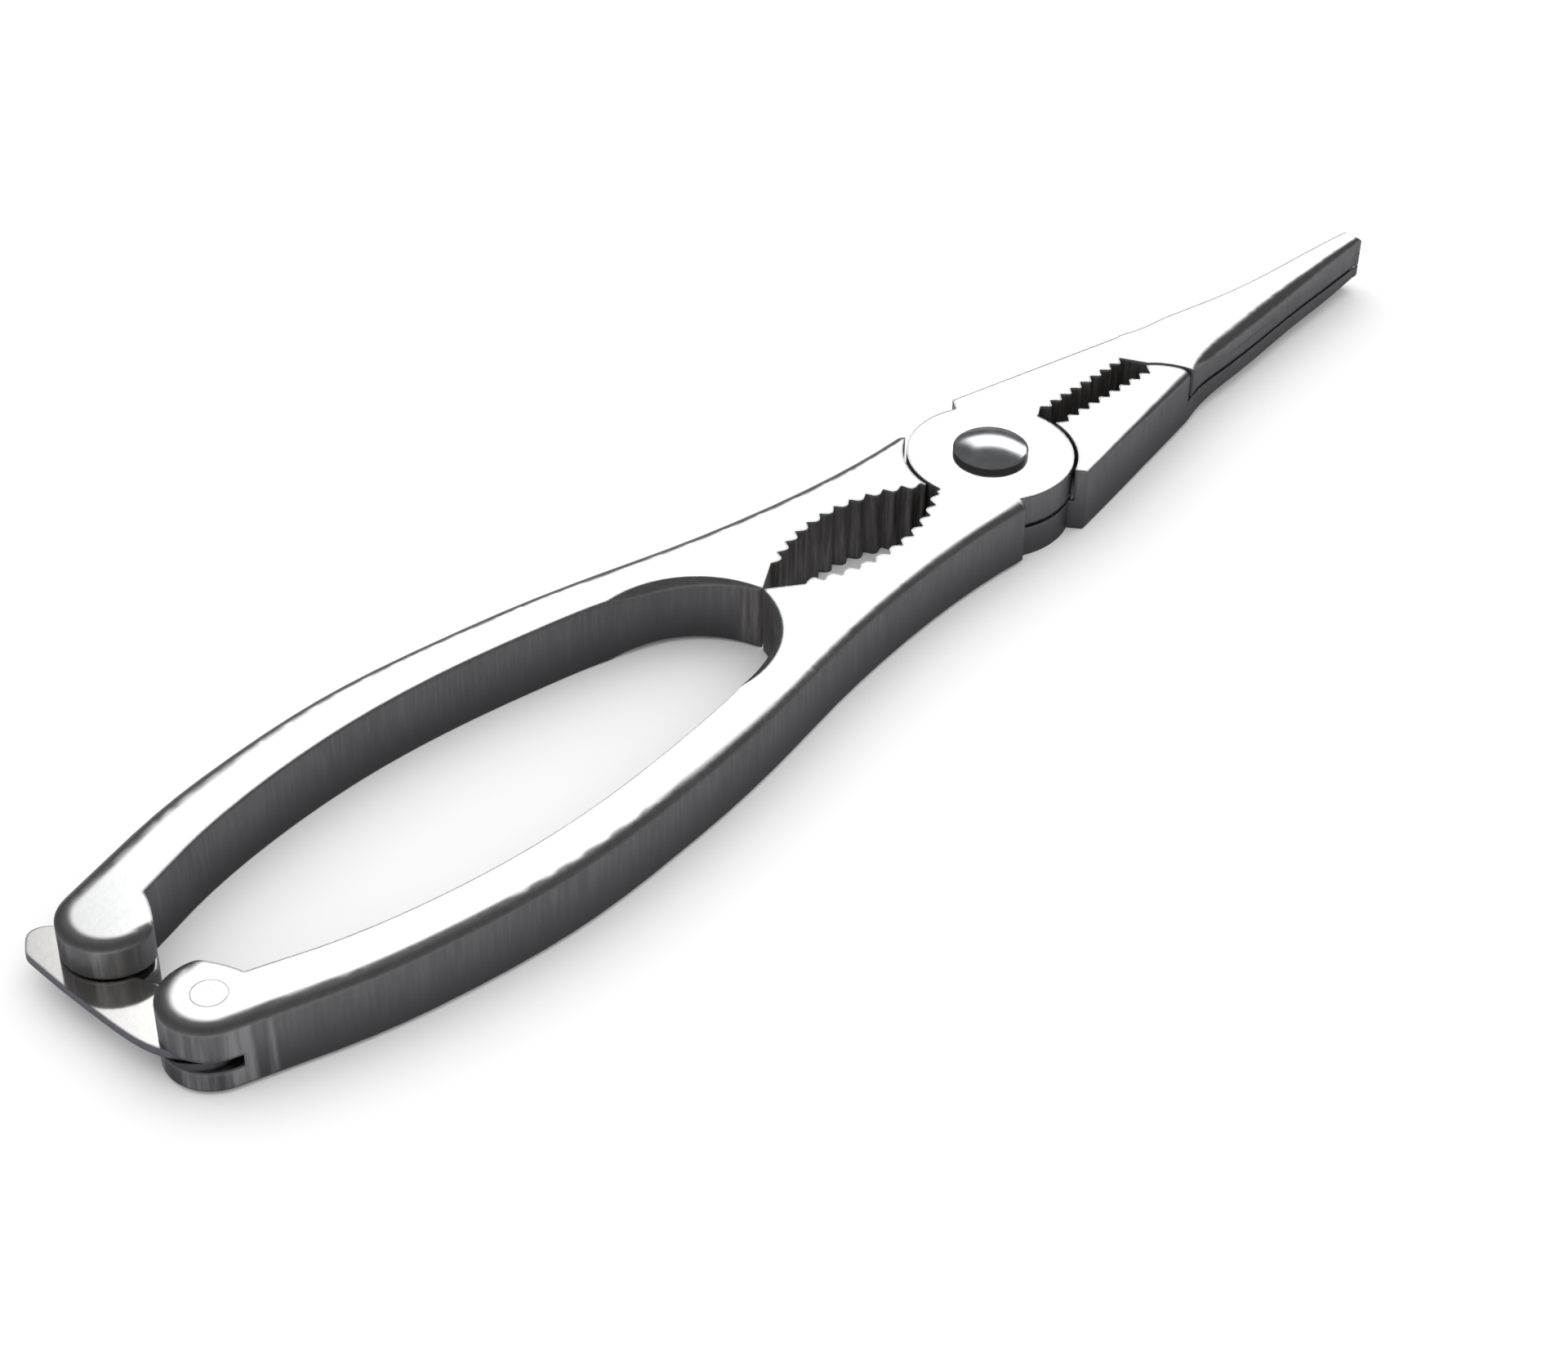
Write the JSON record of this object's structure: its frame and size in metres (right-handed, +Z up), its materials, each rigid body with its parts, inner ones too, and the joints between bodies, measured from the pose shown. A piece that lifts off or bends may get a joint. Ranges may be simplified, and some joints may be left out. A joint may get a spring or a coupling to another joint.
{
  "type": "nutcracker",
  "caption": "Lever nutcracker with crossed steel handles, a toothed nut opening behind the pivot, a toothed jaw slot and shear tips in front, and a swinging plate latch at the handle ends.",
  "frame": {"origin": "on the underside, below the middle of the closed tool with its latch plate", "axes": "+X along the tool towards the jaw tips, +Y towards the bottom lever's handle, +Z up, out of the rivet's domed head"},
  "size_m": [0.2026, 0.0398, 0.0102],
  "materials": {
    "polished_steel": "satin polished faces with fine-ground edges",
    "rivet_steel": "bright polished dome",
    "spring_steel": "drawn stainless spring wire",
    "plate_steel": "rolled stainless sheet with blued edges from polishing",
    "pin_steel": "ground stainless pin"
  },
  "bodies": {
    "top": {"top_lever": "polished_steel", "pivot_rivet": "rivet_steel", "opening_spring": "spring_steel", "latch_pin": "pin_steel"},
    "bottom": {"bottom_lever": "polished_steel", "catch_pin": "pin_steel"},
    "latch": {"latch_plate": "plate_steel"}
  },
  "joints": [
    {"name": "lever_pivot", "type": "hinge", "parent": "top", "child": "bottom", "pos_m": [0.02748, 0, 0.0042], "axis": [0, 0, -1], "range_deg": [0, 50]},
    {"name": "latch_pivot", "type": "hinge", "parent": "top", "child": "latch", "pos_m": [-0.09432, -0.008, 0.0036], "axis": [0, 0, 1], "range_deg": [-4, 65]}
  ]
}
